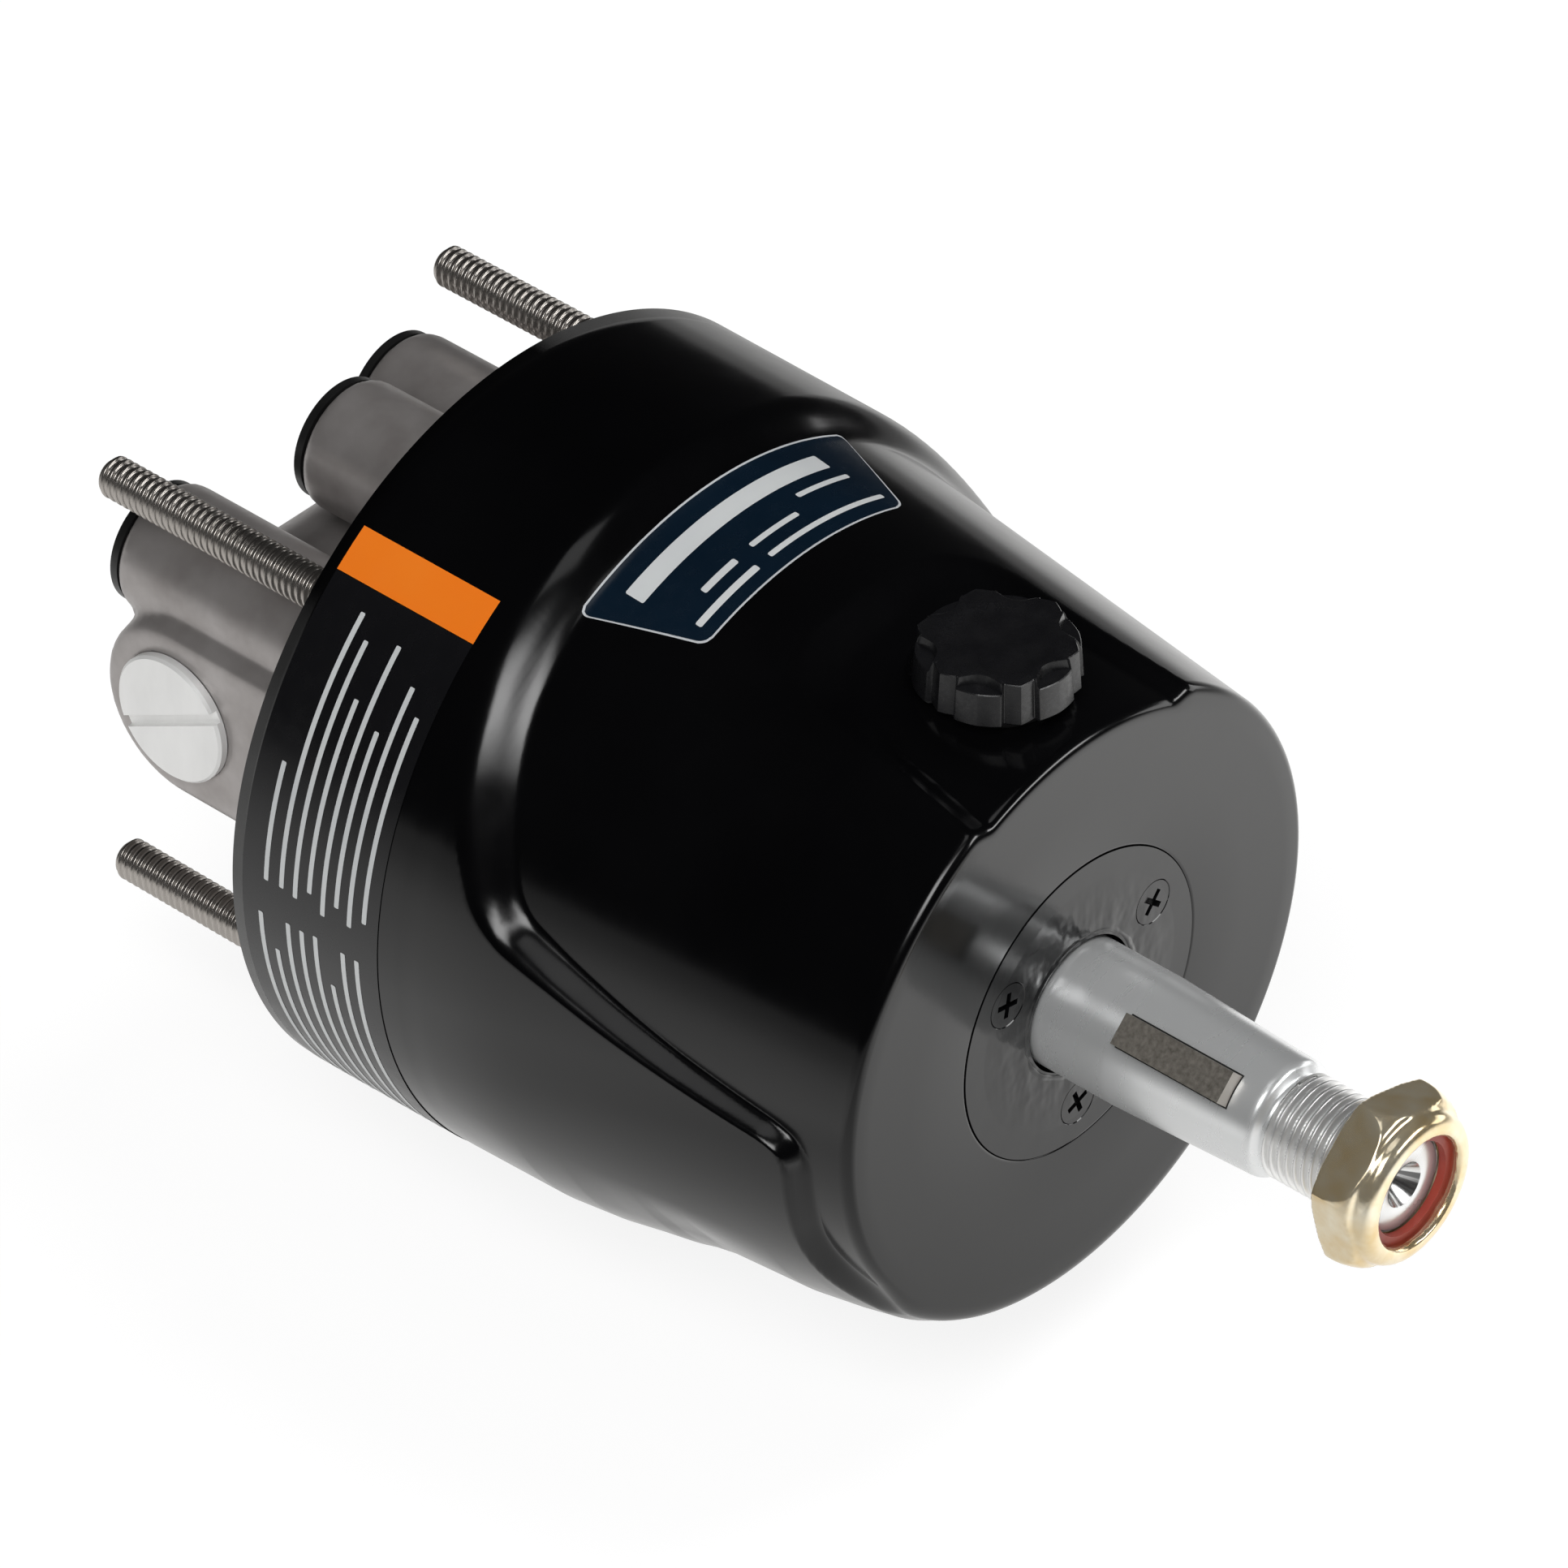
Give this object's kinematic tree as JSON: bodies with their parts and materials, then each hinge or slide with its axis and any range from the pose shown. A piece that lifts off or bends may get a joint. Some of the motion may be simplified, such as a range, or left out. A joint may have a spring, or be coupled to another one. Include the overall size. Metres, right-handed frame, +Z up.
{
  "type": "hydraulic helm pump",
  "caption": "Hydraulic steering helm pump: a black cone-shaped housing with a tapered wheel shaft, filler cap, rear lock valve body and mounting studs.",
  "frame": {"origin": "centre of the rear mounting face that sits against the panel", "axes": "+Z up, the shaft points forward along -Y, +Y goes behind the panel, +X to the right seen from behind"},
  "size_m": [0.1188, 0.2138, 0.1188],
  "materials": {
    "black_paint": "satin gloss paint",
    "black_cover": "satin paint",
    "black_screw": "black oxide",
    "cast_alloy": "die cast, matt",
    "plug_alloy": "turned",
    "stainless": "bright",
    "ground_steel": "ground",
    "key_steel": "dark",
    "zinc_gold": "yellow zinc plated",
    "insert_red": "nylon",
    "black_plastic": "moulded",
    "seal_rubber": "soft",
    "bronze": "bearing bronze",
    "spring_steel": "drawn wire"
  },
  "bodies": {
    "housing": {"pump_housing": "black_paint", "mounting_studs": "stainless", "seal_cover": "black_cover", "seal_cover_screws": "black_screw", "seal_cover_oring": "seal_rubber", "shaft_seal": "seal_rubber", "bearing_outer_race": "ground_steel", "swash_plate": "ground_steel", "swash_dowels": "ground_steel", "thrust_seat": "ground_steel", "valve_plate": "bronze", "valve_plate_pins": "ground_steel", "rear_bush": "bronze", "valve_body": "cast_alloy", "valve_body_oring": "seal_rubber", "valve_body_screws": "ground_steel", "port_plugs": "black_plastic", "check_plugs": "plug_alloy", "check_plug_orings": "seal_rubber", "check_seats": "ground_steel", "check_spring_left": "spring_steel", "check_spring_right": "spring_steel"},
    "shaft": {"steering_shaft": "ground_steel", "shaft_key": "key_steel", "shaft_nut": "zinc_gold", "nut_insert": "insert_red", "bearing_inner_race": "ground_steel", "bearing_circlip": "ground_steel", "rotor_barrel": "ground_steel", "drive_pin": "ground_steel", "pistons": "ground_steel", "piston_springs": "spring_steel"},
    "front_cage": {"bearing_balls": "ground_steel", "bearing_cage": "bronze"},
    "swash_race": {"thrust_race": "ground_steel"},
    "swash_cage": {"thrust_balls": "ground_steel", "thrust_cage": "bronze"},
    "cap_ring": {"filler_cap_oring": "seal_rubber"},
    "cap": {"filler_cap": "black_plastic"},
    "spool": {"lock_spool": "ground_steel"},
    "poppet_left": {"check_poppet_left": "ground_steel"},
    "poppet_right": {"check_poppet_right": "ground_steel"}
  },
  "joints": [
    {"name": "shaft_turn", "type": "hinge", "parent": "housing", "child": "shaft", "pos_m": [0, 0, 0], "axis": [0, -1, 0], "continuous": true},
    {"name": "front_cage_turn", "type": "hinge", "parent": "housing", "child": "front_cage", "pos_m": [0, -0.089, 0], "axis": [0, -1, 0], "continuous": true},
    {"name": "swash_race_turn", "type": "hinge", "parent": "housing", "child": "swash_race", "pos_m": [0, -0.05992, 0], "axis": [0, -0.9563, -0.2924], "continuous": true},
    {"name": "swash_cage_turn", "type": "hinge", "parent": "housing", "child": "swash_cage", "pos_m": [0, -0.05992, 0], "axis": [0, -0.9563, -0.2924], "continuous": true},
    {"name": "filler_cap_lift", "type": "slide", "parent": "housing", "child": "cap_ring", "axis": [0, 0, 1], "range_m": [0, 0.0061]},
    {"name": "filler_cap_turn", "type": "hinge", "parent": "cap_ring", "child": "cap", "pos_m": [0, -0.0889, 0.05], "axis": [0, 0, 1], "range_deg": [0, 1440]},
    {"name": "lock_spool_slide", "type": "slide", "parent": "housing", "child": "spool", "axis": [1, 0, 0], "range_m": [-0.0015, 0.0015]},
    {"name": "check_left_open", "type": "slide", "parent": "housing", "child": "poppet_left", "axis": [-1, 0, 0], "range_m": [0, 0.0015], "stiffness_N_per_m": 400, "springref_m": -0.004, "deforming": ["check_spring_left"]},
    {"name": "check_right_open", "type": "slide", "parent": "housing", "child": "poppet_right", "axis": [1, 0, 0], "range_m": [0, 0.0015], "stiffness_N_per_m": 400, "springref_m": -0.004, "deforming": ["check_spring_right"]}
  ],
  "couplings": [
    {"joint": "front_cage_turn", "follows": "shaft_turn", "ratio": 0.40341},
    {"joint": "swash_race_turn", "follows": "shaft_turn", "ratio": 1},
    {"joint": "swash_cage_turn", "follows": "shaft_turn", "ratio": 0.5},
    {"joint": "filler_cap_lift", "follows": "filler_cap_turn", "m_per_rad": 0.00023873}
  ]
}
